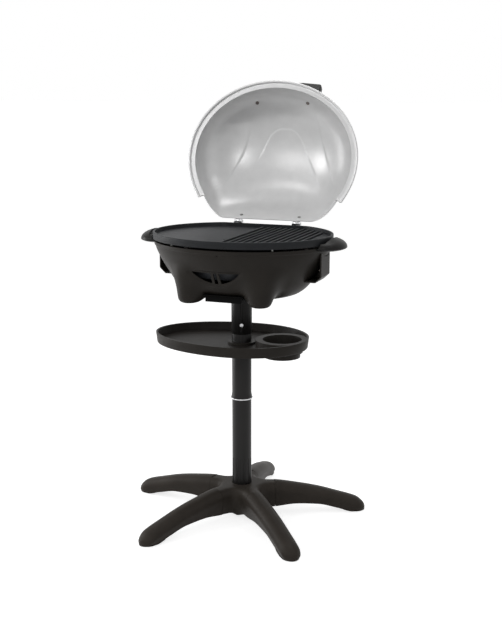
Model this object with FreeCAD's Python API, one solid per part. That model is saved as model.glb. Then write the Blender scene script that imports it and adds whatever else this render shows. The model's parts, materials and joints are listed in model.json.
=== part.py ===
"""Free-standing electric barbecue grill with an oval plate and a hinged lid.

Millimetres, +Z up, front towards -Y, floor at Z = 0. The lid stands open.
Everything is drawn around the column's axis and moved at the end, so that the
origin lies under the middle of the whole object.
"""
import FreeCAD, Part
import math
import os

Vector = FreeCAD.Vector

# General sizes
overrun = 2.0
fit_gap = 0.05
running_gap = 0.3
slip_gap = 0.2
sheet = 1.5
moulding = 3.0

# Base: hub and five legs
leg_count = 5
leg_turn_degrees = 97.8
leg_reach = 312.0
leg_seam = 82.0
leg_width = 50.0
leg_corner_share = 0.42
leg_foot_share = 0.80
leg_wall = 3.0
toe_length = 56.0
toe_radius = 23.5
tenon_length = 36.0
hub_top = 88.0
hub_bottom = 16.0
hub_radius = 47.0
hub_socket_floor = 30.0
hub_boss_wall = 5.0
# Stations of an arm: place along the reach, upper edge and lower edge as shares
# of the hub's height, and width as a share of the leg's width
leg_station_shares = (
    (0.07, 1.00, 0.23, 1.04),
    (0.26, 0.97, 0.26, 1.00),
    (0.43, 0.88, 0.32, 0.98),
    (0.61, 0.75, 0.285, 0.96),
    (0.77, 0.585, 0.145, 0.95),
    (0.90, 0.44, 0.02, 0.95),
    (1.00, 0.28, 0.02, 0.94),
)
leg_floor_gap = 2.0
pad_inset = 28.0
pad_radius = 15.5
pad_height = 9.0
leg_screw_place = 100.0
leg_screw_radius = 2.0
leg_screw_head_radius = 4.2
leg_screw_head = 2.2
leg_screw_length = 16.0

# Column
tube_radius = 23.8
tube_wall = 1.5
lower_tube_top = 302.0
ring_height = 3.2
ring_radius = 27.0
coupler_wall = 2.0
coupler_half = 42.0
upper_tube_top = 466.0
flare_radius = 25.8
flare_height = 11.0
flute_count = 14
flute_radius = 3.0
flute_depth = 1.2
flute_height = 62.0
plug_height = 32.0
hub_bolt_radius = 4.0
hub_bolt_head_radius = 6.5
hub_bolt_head = 5.5
head_radius = 25.0
head_wall = 4.0
head_top = 600.0
head_spigot = 30.0
head_screw_height = 490.0
head_screw_turn_degrees = 21.0
head_screw_radius = 2.5
head_screw_cap_radius = 4.2
head_screw_cap = 2.6
head_screw_length = 14.0

# Side tray on the column
tray_left = 220.5
tray_right = 166.0
tray_depth = 138.0
tray_rim_top = 461.0
tray_rim_height = 25.0
tray_floor = 441.0
tray_draft = 3.0
tray_lip = 5.0
tray_edge_round = 2.0
collar_radius = 33.5
collar_bottom = 430.0
cup_place = 104.0
cup_radius = 50.0
cup_shelf_radius = 64.0
cup_shelf_drop = 2.5
cup_base_radius = 44.0
cup_step = 12.0
cup_bottom = 416.0
tray_screw_radius = 2.5
tray_screw_cap_radius = 3.8
tray_screw_cap = 3.0

# Bowl: half width, half depth and height of each outer oval
grill_centre_y = 6.0
bowl_rim_top = 690.0
bowl_floor = 560.0
bowl_half_width = 217.0
bowl_half_depth = 178.0
bowl_wall = 3.5
bowl_step = 672.0
bowl_rim_width = 9.0
bowl_ledge = 6.0
# Height above the floor, half width and half depth as shares of rim values
bowl_section_shares = (
    (0.00, 0.40, 0.36),
    (0.025, 0.52, 0.48),
    (0.10, 0.655, 0.625),
    (0.24, 0.755, 0.735),
    (0.43, 0.832, 0.82),
    (0.69, 0.925, 0.92),
    (0.86, 0.976, 0.974),
    (1.00, 1.00, 1.00),
)
foot_place_x = 88.0
foot_place_y = 116.0
foot_bottom = 556.0
foot_bottom_radius = 27.0
foot_top_radius = 38.0
foot_top = 640.0
foot_hollow_share = 0.80
socket_wall = 4.0
vent_half_width = 59.0
vent_tip_rise = 76.0
vent_drop = 28.0
vent_top_sag = 1.5
vent_bar_width = 4.0
vent_bar_place = 7.5
vent_shift = -9.0
drain_radius = 6.0
drain_place_x = -12.0
drain_place_y = -72.0

# Guards under the side handles
guard_half_length = 34.0
guard_top = 676.0
guard_right_inset = 7.0
guard_left_inset = 16.0
guard_root_inset = 67.0
guard_right_reach = bowl_half_width - guard_right_inset
guard_left_reach = bowl_half_width - guard_left_inset
guard_skirt_bottom = 620.0
guard_tip_inset = 15.0
guard_tip_bottom = 606.0
guard_inner_reach = bowl_half_width - guard_root_inset
guard_wall = 4.0
guard_back_wall = 16.0

# Inlet in the right guard
inlet_pin_radius = 2.0
inlet_pin_length = 19.0
inlet_pin_seat = 8.0
inlet_pin_spread = 5.0
inlet_pin_drop = 9.0
inlet_inset = 12.0
inlet_place_x = guard_right_reach - inlet_inset
inlet_place_z = 630.0

# Side handles
handle_seat = 5.0
handle_centre = bowl_half_width - handle_seat
handle_half_width = 47.0
handle_half_length = 56.0
handle_edge = 688.0
handle_rise = 24.0
handle_drop = 9.0
handle_clear_width = 230.0
handle_clear_depth = 200.0
handle_clear_height = 700.0
handle_screw_place_y = 24.0
handle_screw_height = 686.0
handle_screw_radius = 2.0
handle_screw_length = 26.0
handle_screw_head_radius = 3.6
handle_screw_head = 2.5

# Grill plate
plate_half_width = 220.0
plate_half_depth = 181.0
plate_chord_y = 162.0
plate_corner = 36.0
plate_top = 712.0
plate_bottom = 695.7
plate_floor = 702.5
plate_rim = 5.0
rib_count = 11
rib_width = 5.0
rib_height = 4.0
rib_pitch = 15.0
rib_inset = 14.0
divider_width = 7.0
plate_drain_radius = 5.0
plate_edge_round = 1.2
stud_radius = 2.6
stud_turn_degrees = 37.0

# Reflector and heating element
reflector_bottom = 616.0
reflector_draft = 34.0
element_height = 664.0
element_radius = 4.0
element_half_width = 146.0
element_half_depth = 96.0
element_corner = 44.0
terminal_spread = 17.0
terminal_corner = 12.0
terminal_reach = 206.0
clip_width = 8.0
clip_length = 16.0
clip_place_x = 90.0

# Drip tray under the bowl
drip_half_width = 45.0
drip_front = -116.5
drip_back = -34.5
drip_bottom = 562.0
drip_channel_top = 580.0
drip_channel_back = -30.5
drip_wall = 2.0
drip_flange = 5.0
drip_flange_thick = 2.0
drip_head_room = 1.0
drip_lip = 6.0

# Lid, drawn closed and then swung open
hinge_y = 178.0
hinge_z = 714.0
hinge_place_x = 78.0
lid_lean_degrees = 10.45
lid_centre_to_hinge = 161.0
lid_half_width = 224.5
lid_half_depth = 196.0
lid_ledge = 12.0
lid_skirt = 7.4
lid_rise = 104.0
lid_over_plate = 0.6
lid_rear_gap = 6.0
lid_rear_lean_degrees = 25.0
lid_flange_end_share = 0.55

# Lid handle
grip_half_length = 100.0
grip_arch = 6.0
grip_arch_share = 0.42
grip_rise = 66.0
grip_bar = 18.0
grip_thick = 20.0
grip_foot = 36.0
grip_taper = 9.0
grip_round = 5.0
grip_seat = 24.0
grip_lean_degrees = 38.0
grip_place_x = 69.0
grip_place_y = 149.5
grip_screw_radius = 2.0
grip_screw_head_radius = 4.5
grip_screw_head = 2.0
grip_screw_length = 22.0
grip_screw_sink = 0.2

# Hinges
pin_radius = 2.5
knuckle_radius = 5.5
leaf_half_width = 8.0
leaf_thick = 2.0
leaf_length = 32.0
leaf_web = 5.0
ear_thick = 2.6
hinge_foot_top = 697.0
hinge_foot_bottom = 668.0
hinge_foot_back = 185.0
hinge_foot_front = 130.0
hinge_screw_radius = 2.0
hinge_screw_head_radius = 4.0
hinge_screw_head = 2.0
hinge_screw_length = 13.0
leaf_screw_place = 22.0
leaf_screw_length = 7.0

shapes = {}


# Helpers

def cylinder(radius, low, high, x=0, y=0):
    return Part.makeCylinder(radius, high - low, Vector(x, y, low))


def tube(outer, inner, low, high):
    return cylinder(outer, low, high).cut(cylinder(inner, low - overrun, high + overrun))


def block(x_low, x_high, y_low, y_high, z_low, z_high):
    corner = Vector(x_low, y_low, z_low)
    return Part.makeBox(x_high - x_low, y_high - y_low, z_high - z_low, corner)


def rod(start, direction, radius, length):
    return Part.makeCylinder(radius, length, start, direction)


def oval_wire(half_width, half_depth, height, centre_y):
    """Closed ellipse in a level plane, wider than it is deep."""
    ellipse = Part.Ellipse(Vector(0, centre_y, height), half_width, half_depth)
    return Part.Wire(ellipse.toShape())


def oval_prism(half_width, half_depth, low, high, centre_y):
    face = Part.Face(oval_wire(half_width, half_depth, low, centre_y))
    return face.extrude(Vector(0, 0, high - low))


def dome(half_width, half_depth, rise, base, centre_y):
    """Upper half of an ellipsoid standing on its widest section."""
    unit = Part.makeSphere(1, Vector(0, 0, 0), Vector(0, 0, 1), 0, 90, 360)
    stretch = FreeCAD.Matrix()
    stretch.scale(half_width, half_depth, rise)
    stretched = unit.transformGeometry(stretch)
    stretched.translate(Vector(0, centre_y, base))
    return stretched


def tight_box(shape):
    return shape.optimalBoundingBox(False, False)


def polygon_prism(points, travel):
    face = Part.Face(Part.makePolygon(points + [points[0]]))
    return face.extrude(travel)


def turned(shape, degrees, centre=Vector(0, 0, 0), axis=Vector(0, 0, 1)):
    copy = shape.copy()
    copy.rotate(centre, axis, degrees)
    return copy


def mirrored(shape):
    return shape.mirror(Vector(0, 0, 0), Vector(1, 0, 0))


def fused(pieces):
    return pieces[0].multiFuse(pieces[1:]).removeSplitter()


# Base

def arm_section(place, width, low, high):
    """Upright section of an arm: flat foot, leaning sides and a rounded back."""
    half = width / 2
    foot = half * leg_foot_share
    corner = width * leg_corner_share
    bend = corner * (1 - math.sqrt(0.5))

    def point(across, up):
        return Vector(place, across, up)

    left_arc = Part.Arc(
        point(-half, high - corner), point(-half + bend, high - bend), point(-half + corner, high))
    right_arc = Part.Arc(
        point(half - corner, high), point(half - bend, high - bend), point(half, high - corner))
    edges = [
        Part.LineSegment(point(-foot, low), point(-half, high - corner)).toShape(),
        left_arc.toShape(),
        Part.LineSegment(point(-half + corner, high), point(half - corner, high)).toShape(),
        right_arc.toShape(),
        Part.LineSegment(point(half, high - corner), point(foot, low)).toShape(),
        Part.LineSegment(point(foot, low), point(-foot, low)).toShape(),
    ]
    return Part.Wire(edges)


def arm_loft(inset, low_inset):
    """Arched arm along +X, drawn in by an inset all round."""
    wires = []
    for along_share, top_share, low_share, width_share in leg_station_shares:
        high = hub_top * top_share - inset
        low = hub_top * low_share + low_inset
        width = leg_width * width_share - 2 * inset
        corner_room = width * leg_corner_share + fit_gap
        low = min(low, high - corner_room)
        wires.append(arm_section(leg_reach * along_share, width, low, high))
    return Part.makeLoft(wires, True, False)


def arm_slice(solid, start, end):
    return solid.common(block(start, end, -leg_width, leg_width, -hub_top, 2 * hub_top))


def build_base():
    outside = arm_loft(0, 0)
    inside = arm_loft(leg_wall, -overrun)
    toe_centre = leg_reach - toe_radius
    toe_plan = cylinder(toe_radius, leg_floor_gap, 2 * hub_top, toe_centre)
    shank_plan = block(0, toe_centre, -leg_width, leg_width, leg_floor_gap, 2 * hub_top)
    leg = arm_slice(outside, leg_seam, leg_reach).common(fused([shank_plan, toe_plan]))
    leg = leg.cut(arm_slice(inside, leg_seam - overrun, leg_reach - toe_length))
    pad_place = leg_reach - pad_inset
    leg = leg.cut(cylinder(pad_radius + fit_gap, -overrun, pad_height, pad_place))
    pad = cylinder(pad_radius, 0, pad_height, pad_place)

    tenon = arm_slice(arm_loft(leg_wall + slip_gap, leg_wall), leg_seam, leg_seam + tenon_length)
    arm = arm_slice(outside, leg_reach * leg_station_shares[0][0], leg_seam)
    arms = [cylinder(hub_radius, hub_bottom, hub_top)]
    screws = []
    pads = []
    core = cylinder(leg_screw_radius, 0, 2 * hub_top, leg_screw_place)
    tip = tight_box(core.common(outside)).ZMax - leg_wall / 2
    seat = tip - leg_screw_length
    shank = cylinder(leg_screw_radius, seat, tip, leg_screw_place)
    cap = cylinder(leg_screw_head_radius, seat - leg_screw_head, seat, leg_screw_place)
    screw = shank.fuse(cap)
    bore = cylinder(leg_screw_radius + fit_gap, 0, tip, leg_screw_place)
    leg = leg.cut(bore)
    tenon = tenon.cut(bore).cut(
        cylinder(leg_screw_head_radius + fit_gap, 0, seat, leg_screw_place))
    for index in range(leg_count):
        turn = leg_turn_degrees + index * 360 / leg_count
        shapes["leg_%d" % (index + 1)] = turned(leg, turn)
        arms.append(turned(arm, turn))
        arms.append(turned(tenon, turn))
        screws.append(turned(screw, turn))
        pads.append(turned(pad, turn))
    hub = fused(arms)
    for index in range(leg_count):
        turn = leg_turn_degrees + index * 360 / leg_count
        hub = hub.cut(turned(arm_slice(inside, hub_radius + leg_wall, leg_seam - leg_wall), turn))
    hub = hub.cut(tube(hub_radius - leg_wall, tube_radius + hub_boss_wall,
                       hub_bottom - overrun, hub_top - leg_wall))
    hub = hub.cut(cylinder(tube_radius + fit_gap, hub_socket_floor, hub_top + overrun))
    hub = hub.cut(cylinder(hub_bolt_radius + fit_gap, 0, hub_top))
    shapes["base_hub"] = hub
    shapes["foot_pads"] = Part.makeCompound(pads)
    shapes["leg_screws"] = Part.makeCompound(screws)


# Column

def build_column():
    bore = tube_radius - tube_wall
    lower = tube(tube_radius, bore, hub_socket_floor, lower_tube_top)
    for index in range(flute_count):
        angle = 2 * math.pi * index / flute_count
        reach = tube_radius + flute_radius - flute_depth
        flute_top = hub_top + flute_height
        lower = lower.cut(cylinder(
            flute_radius, hub_socket_floor - overrun, flute_top,
            reach * math.cos(angle), reach * math.sin(angle)))
    shapes["lower_tube"] = lower

    plug_radius = bore - fit_gap
    plug = tube(plug_radius, hub_bolt_radius + fit_gap, hub_socket_floor, hub_socket_floor + plug_height)
    shapes["tube_plug"] = plug
    bolt_head = cylinder(hub_bolt_head_radius, hub_bottom - hub_bolt_head, hub_bottom)
    bolt_shank = cylinder(hub_bolt_radius, hub_bottom, hub_socket_floor + plug_height)
    shapes["hub_bolt"] = bolt_head.fuse(bolt_shank)

    upper_bottom = lower_tube_top + ring_height
    ring_middle = lower_tube_top + ring_height / 2
    coupler_radius = bore - fit_gap
    shapes["tube_coupler"] = tube(
        coupler_radius, coupler_radius - coupler_wall,
        ring_middle - coupler_half, ring_middle + coupler_half)
    shapes["joint_ring"] = tube(ring_radius, bore, lower_tube_top, upper_bottom)

    flare = Part.makeCone(flare_radius, tube_radius, flare_height, Vector(0, 0, upper_bottom))
    upper = fused([cylinder(tube_radius, upper_bottom, upper_tube_top), flare])
    shapes["upper_tube"] = upper.cut(cylinder(bore, upper_bottom - overrun, upper_tube_top + overrun))

    head = fused([
        cylinder(head_radius, upper_tube_top, head_top),
        cylinder(bore - fit_gap, upper_tube_top - head_spigot, upper_tube_top)])
    head = head.cut(cylinder(bore - head_wall, upper_tube_top - head_spigot - overrun,
                             head_top - head_wall))
    turn = math.radians(head_screw_turn_degrees)
    outward = Vector(math.sin(turn), -math.cos(turn), 0)
    seat = outward * head_radius + Vector(0, 0, head_screw_height)
    screw_hole = rod(
        seat + outward * overrun, -outward,
        head_screw_radius + fit_gap, head_screw_length + overrun)
    shapes["column_head"] = head.cut(screw_hole)
    cap = rod(seat, outward, head_screw_cap_radius, head_screw_cap)
    cap = cap.cut(cylinder(head_radius, 0, head_top))
    inward_shank = rod(seat + outward * head_screw_cap, -outward,
                       head_screw_radius, head_screw_length + head_screw_cap)
    shapes["head_screw"] = cap.fuse(inward_shank)


# Side tray

def egg_prism(inset, low, high, draft=0):
    """Oval that reaches further to the left, narrowed downwards by a draft."""
    wires = []
    for height, narrowing in ((low, inset + draft), (high, inset)):
        right = Part.Ellipse(Vector(0, 0, height), tray_right - narrowing, tray_depth - narrowing)
        left = Part.Ellipse(Vector(0, 0, height), tray_left - narrowing, tray_depth - narrowing)
        right_edge = Part.Edge(right, -math.pi / 2, math.pi / 2)
        left_edge = Part.Edge(left, math.pi / 2, 3 * math.pi / 2)
        wires.append(Part.Wire([right_edge, left_edge]))
    return Part.makeLoft(wires, True, True)


def build_tray():
    rim_bottom = tray_rim_top - tray_rim_height
    body = egg_prism(0, rim_bottom, tray_rim_top, tray_draft)
    lower_edges = [edge for edge in body.Edges if edge.BoundBox.ZMax < rim_bottom + overrun]
    body = body.makeFillet(tray_edge_round, lower_edges)
    body = body.cut(egg_prism(tray_lip, tray_floor, tray_rim_top + overrun, tray_draft))
    under = tray_floor - moulding
    body = body.cut(egg_prism(tray_lip + tray_draft, rim_bottom - overrun, under))

    step_height = cup_bottom + cup_step
    cup = fused([
        cylinder(cup_radius, step_height, tray_floor, cup_place),
        cylinder(cup_base_radius, cup_bottom, step_height, cup_place)])
    collar = cylinder(collar_radius, collar_bottom, tray_floor + tray_lip)
    shelf_top = tray_rim_top - cup_shelf_drop
    room = egg_prism(tray_lip - fit_gap, rim_bottom, tray_rim_top, tray_draft)
    shelf = cylinder(cup_shelf_radius, tray_floor - moulding, shelf_top, cup_place).common(room)
    shelf_hollow = cylinder(
        cup_shelf_radius - moulding, rim_bottom - overrun, shelf_top - moulding, cup_place)
    shelf_hollow = shelf_hollow.common(egg_prism(tray_lip + tray_draft, rim_bottom - overrun, tray_rim_top))
    body = fused([body, shelf]).cut(shelf_hollow)
    body = fused([body, collar, cup.fuse(cylinder(cup_radius, tray_floor, shelf_top, cup_place))])
    body = body.cut(cylinder(
        cup_radius - moulding, step_height + moulding, tray_rim_top + overrun, cup_place))
    body = body.cut(cylinder(
        cup_base_radius - moulding, cup_bottom + moulding, tray_rim_top, cup_place))
    body = body.cut(cylinder(tube_radius + fit_gap, 0, tray_rim_top + overrun))

    screws = []
    for side in (-1, 1):
        outward = Vector(side, 0, 0)
        height = (collar_bottom + under) / 2
        start = outward * collar_radius + Vector(0, 0, height)
        hole = rod(start + outward * overrun, -outward, tray_screw_radius + fit_gap,
                   collar_radius - tube_radius + overrun)
        body = body.cut(hole)
        cap = rod(start, outward, tray_screw_cap_radius, tray_screw_cap)
        cap = cap.cut(cylinder(collar_radius, 0, tray_floor))
        shank = rod(start + outward * tray_screw_cap, -outward, tray_screw_radius,
                    collar_radius - tube_radius + tray_screw_cap)
        shank = shank.cut(cylinder(tube_radius, 0, tray_floor))
        screws.append(cap.fuse(shank))
    shapes["side_tray"] = body
    shapes["tray_screws"] = Part.makeCompound(screws)


# Bowl

def bowl_solid(inset):
    """Bowl's outer form, or its hollow when drawn in by the wall."""
    depth = bowl_rim_top - bowl_floor
    wires = []
    for height_share, width_share, depth_share in bowl_section_shares:
        wires.append(oval_wire(
            bowl_half_width * width_share - inset, bowl_half_depth * depth_share - inset,
            bowl_floor + depth * height_share + inset, grill_centre_y))
    return Part.makeLoft(wires, True, False)


def vent_tool():
    """Crescent through the front wall, with two upright bars left standing."""
    front = grill_centre_y - bowl_half_depth - overrun
    tip_height = bowl_floor + vent_tip_rise
    left = Vector(vent_shift - vent_half_width, front, tip_height)
    right = Vector(vent_shift + vent_half_width, front, tip_height)
    low = Vector(vent_shift, front, tip_height - vent_drop)
    high = Vector(vent_shift, front, tip_height - vent_top_sag)
    edges = [Part.Arc(left, low, right).toShape(), Part.Arc(right, high, left).toShape()]
    crescent = Part.Face(Part.Wire(edges)).extrude(Vector(0, bowl_half_depth / 2, 0))
    for side in (-1, 1):
        middle = vent_shift + side * vent_bar_place
        bar = block(middle - vent_bar_width / 2, middle + vent_bar_width / 2,
                    front - overrun, grill_centre_y, bowl_floor, bowl_rim_top)
        crescent = crescent.cut(bar)
    return crescent


def drip_channel():
    """Slot under the bowl's front, with a ledge each side for the tray's flange."""
    ledge_top = drip_flange_bottom() - running_gap
    narrow = drip_half_width + running_gap
    wide = drip_half_width + drip_flange + running_gap
    front = grill_centre_y - bowl_half_depth
    lower = block(-narrow, narrow, front, drip_channel_back, foot_bottom - overrun, ledge_top)
    upper = block(-wide, wide, front, drip_channel_back, ledge_top, drip_channel_top)
    return lower.fuse(upper)


def build_drip_guide():
    """Housing on the bowl's floor that closes the drip tray's slot from above."""
    half = drip_half_width + drip_flange + running_gap + bowl_wall
    guide = block(-half, half, grill_centre_y - bowl_half_depth, drip_channel_back + bowl_wall,
                  foot_bottom, drip_channel_top + bowl_wall)
    room = bowl_solid(bowl_wall + running_gap)
    room.translate(Vector(0, 0, -running_gap))
    guide = guide.common(room).cut(drip_channel())
    guide = guide.cut(cylinder(socket_radius() + running_gap, foot_bottom, head_top))
    shapes["drip_guide"] = guide.cut(
        cylinder(drain_radius, foot_bottom, bowl_step, drain_place_x, drain_place_y))


def socket_radius():
    return head_radius + running_gap + socket_wall


def drip_flange_bottom():
    return drip_channel_top - drip_head_room - drip_flange_thick


def build_bowl():
    outer = bowl_solid(0)
    hollow = bowl_solid(bowl_wall)
    feet = []
    hollow_feet = []
    for side_x in (-1, 1):
        for side_y in (-1, 1):
            x = side_x * foot_place_x
            y = grill_centre_y + side_y * foot_place_y
            rise = foot_top - foot_bottom
            feet.append(Part.makeCone(
                foot_bottom_radius, foot_top_radius, rise, Vector(x, y, foot_bottom)))
            hollow_feet.append(Part.makeCone(
                foot_bottom_radius - bowl_wall, foot_top_radius - bowl_wall, rise,
                Vector(x, y, foot_bottom + bowl_wall)))
    cap = oval_prism(bowl_half_width, bowl_half_depth, foot_bottom, bowl_rim_top, grill_centre_y)
    body = fused([outer] + [foot.common(cap) for foot in feet])
    room = oval_prism(bowl_half_width - bowl_rim_width, bowl_half_depth - bowl_rim_width,
                      bowl_step, bowl_rim_top + overrun, grill_centre_y)
    head_room = oval_prism(bowl_half_width, bowl_half_depth, foot_bottom, bowl_step, grill_centre_y)
    ledge_inset = bowl_rim_width + bowl_ledge
    ledge_room = oval_prism(bowl_half_width - ledge_inset, bowl_half_depth - ledge_inset,
                            foot_bottom, bowl_step + overrun, grill_centre_y)
    lower = hollow.common(head_room).common(ledge_room)
    body = body.cut(lower).cut(room)
    hollow_reach = oval_prism(
        bowl_half_width * foot_hollow_share, bowl_half_depth * foot_hollow_share,
        foot_bottom, bowl_step, grill_centre_y)
    for foot in hollow_feet:
        body = body.cut(foot.common(hollow_reach).common(head_room))
    socket = cylinder(socket_radius(), bowl_floor, head_top + socket_wall)
    body = fused([body, socket])
    body = body.cut(cylinder(head_radius + running_gap, foot_bottom, head_top))
    body = body.cut(cylinder(drain_radius, foot_bottom, bowl_step, drain_place_x, drain_place_y))
    return body.cut(drip_channel()).cut(vent_tool()), outer


# Guards, inlet and side handles

def guard_prism(reach, inset, y_low, y_high):
    """Side guard's outline, drawn in by an inset, along the bowl's side."""
    points = [
        Vector(guard_inner_reach, y_low, guard_top),
        Vector(reach - inset, y_low, guard_top),
        Vector(reach - inset, y_low, guard_skirt_bottom),
        Vector(reach - guard_tip_inset, y_low, guard_tip_bottom + inset),
        Vector(guard_inner_reach, y_low, guard_tip_bottom + inset),
    ]
    return polygon_prism(points, Vector(0, y_high - y_low, 0))


def build_guards(bowl_outer):
    pocket_back = guard_half_length - guard_back_wall
    pins = []
    for name, reach in (("socket_guard", guard_right_reach), ("left_guard", guard_left_reach)):
        guard = guard_prism(reach, 0, -guard_half_length, guard_half_length)
        pocket = guard_prism(reach, guard_wall, -guard_half_length - overrun, pocket_back)
        guard = guard.cut(pocket).cut(bowl_outer)
        if name == "left_guard":
            shapes[name] = mirrored(guard)
            continue
        spots = [(inlet_place_x + side * inlet_pin_spread, inlet_place_z) for side in (-1, 1)]
        spots.append((inlet_place_x, inlet_place_z - inlet_pin_drop))
        for x, z in spots:
            start = Vector(x, pocket_back + inlet_pin_seat, z)
            guard = guard.cut(rod(start, Vector(0, -1, 0), inlet_pin_radius + fit_gap, inlet_pin_length))
            pins.append(rod(start, Vector(0, -1, 0), inlet_pin_radius, inlet_pin_length))
        shapes[name] = guard.cut(terminal_holes())
    shapes["inlet_pins"] = Part.makeCompound(pins)


def build_handles(bowl_outer):
    """Wing handles seated on the bowl's sides and held by screws from inside."""
    top = handle_edge + handle_rise + overrun
    plate_room = oval_prism(
        plate_half_width + overrun, plate_half_depth + overrun, bowl_rim_top, top, grill_centre_y)
    lid_room = oval_prism(
        handle_clear_width, handle_clear_depth, handle_clear_height, top, grill_centre_y)
    level = Vector(0, 0, handle_edge)
    lower = dome(handle_half_width, handle_half_length, handle_drop, handle_edge, 0)
    lower = lower.mirror(level, Vector(0, 0, 1))
    wing = fused([dome(handle_half_width, handle_half_length, handle_rise, handle_edge, 0), lower])
    wing.translate(Vector(handle_centre, 0, 0))
    wing = wing.cut(bowl_outer).cut(fused([plate_room, lid_room]))
    screws = []
    holes = []
    for outward in (Vector(-1, 0, 0), Vector(1, 0, 0)):
        for side in (-1, 1):
            seat_y = side * handle_screw_place_y
            start = outward * inner_reach(seat_y) + Vector(0, seat_y, handle_screw_height)
            head = rod(start, -outward, handle_screw_head_radius, handle_screw_head)
            shank = rod(start, outward, handle_screw_radius, handle_screw_length)
            screws.append(head.fuse(shank))
            holes.append(rod(start - outward * overrun, outward,
                             handle_screw_radius + fit_gap, handle_screw_length + overrun))
    holes = fused(holes)
    shapes["handle_right"] = wing.cut(holes)
    shapes["handle_left"] = mirrored(wing).cut(holes)
    shapes["handle_screws"] = Part.makeCompound(screws)
    return holes


def inner_reach(y):
    """How far the bowl's upper hollow reaches sideways, short of its wall."""
    width = bowl_half_width - bowl_rim_width
    depth = bowl_half_depth - bowl_rim_width
    across = (abs(y - grill_centre_y) + handle_screw_head_radius) / depth
    return width * math.sqrt(1 - across ** 2) - fit_gap


# Grill plate, reflector and heating element

def plate_prism(inset, low, high):
    """Oval cut off by a straight chord at the rear, with rounded rear corners."""
    solid = oval_prism(plate_half_width - inset, plate_half_depth - inset, low, high, grill_centre_y)
    chord = plate_chord_y - inset
    solid = solid.cut(block(-plate_half_width, plate_half_width, chord,
                            chord + plate_half_depth, low - overrun, high + overrun))
    corners = [edge for edge in solid.Edges if edge.BoundBox.YMin > chord - fit_gap
               and edge.BoundBox.ZLength > (high - low) / 2]
    return solid.makeFillet(plate_corner - inset, corners)


def stud_spots():
    """Places of the plate's four supports, on the bowl's inner ledge."""
    spots = []
    reach = bowl_rim_width + bowl_ledge / 2
    turn = math.radians(stud_turn_degrees)
    for side_x in (-1, 1):
        for side_y in (-1, 1):
            x = side_x * (bowl_half_width - reach) * math.sin(turn)
            y = grill_centre_y + side_y * (bowl_half_depth - reach) * math.cos(turn)
            spots.append((x, y))
    return spots


def build_plate():
    plate = plate_prism(0, plate_bottom, plate_top)
    top_edges = [edge for edge in plate.Edges if edge.BoundBox.ZMin > plate_top - fit_gap]
    plate = plate.makeFillet(plate_edge_round, top_edges)
    plate = plate.cut(plate_prism(plate_rim, plate_floor, plate_top + overrun))
    ribs = []
    for index in range(rib_count):
        x = divider_width / 2 + rib_pitch * (index + 1)
        ribs.append(block(x - rib_width / 2, x + rib_width / 2, -plate_half_width, plate_half_width,
                          plate_floor - overrun, plate_floor + rib_height))
    ribs.append(block(-divider_width / 2, divider_width / 2, -plate_half_width, plate_half_width,
                      plate_floor - overrun, plate_floor + rib_height))
    field = plate_prism(rib_inset, plate_floor - overrun, plate_top)
    plate = fused([plate] + [rib.common(field) for rib in ribs])
    drain = cylinder(plate_drain_radius, plate_bottom - overrun, plate_top,
                     drain_place_x, drain_place_y)
    shapes["grill_plate"] = plate.cut(drain)
    studs = [cylinder(stud_radius, bowl_step, plate_bottom, x, y) for x, y in stud_spots()]
    shapes["plate_studs"] = Part.makeCompound(studs)


def reflector_solid(inset, rise):
    top_inset = bowl_rim_width + bowl_ledge + running_gap + inset
    low_inset = top_inset + reflector_draft
    return Part.makeLoft([
        oval_wire(bowl_half_width - low_inset, bowl_half_depth - low_inset,
                  reflector_bottom + inset, grill_centre_y),
        oval_wire(bowl_half_width - top_inset, bowl_half_depth - top_inset,
                  bowl_step + rise, grill_centre_y)], True, False)


def build_reflector():
    flange_inset = bowl_rim_width + running_gap
    flange = oval_prism(bowl_half_width - flange_inset, bowl_half_depth - flange_inset,
                        bowl_step, bowl_step + sheet, grill_centre_y)
    dish = fused([reflector_solid(0, sheet), flange]).cut(reflector_solid(sheet, 2 * sheet))
    for x, y in stud_spots():
        dish = dish.cut(cylinder(stud_radius + fit_gap, bowl_step - overrun, plate_bottom, x, y))
    for side in (-1, 1):
        start = Vector(element_half_width, grill_centre_y + side * terminal_spread, element_height)
        dish = dish.cut(rod(start, Vector(1, 0, 0), element_radius + running_gap, bowl_half_width))
    shapes["reflector_pan"] = dish.cut(
        cylinder(drain_radius, foot_bottom, bowl_step, drain_place_x, drain_place_y))


def rounded_path(points, radii):
    """Straight runs joined by quarter arcs at the inner points."""
    edges = []
    start = points[0]
    for index in range(1, len(points) - 1):
        corner = points[index]
        radius = radii[index - 1]
        ahead = (corner - points[index - 1]).normalize()
        onward = (points[index + 1] - corner).normalize()
        enter = corner - ahead * radius
        leave = corner + onward * radius
        centre = enter + onward * radius
        middle = centre + (ahead - onward) * (radius * math.sqrt(0.5))
        edges.append(Part.LineSegment(start, enter).toShape())
        edges.append(Part.Arc(enter, middle, leave).toShape())
        start = leave
    edges.append(Part.LineSegment(start, points[-1]).toShape())
    return Part.Wire(edges)


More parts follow.
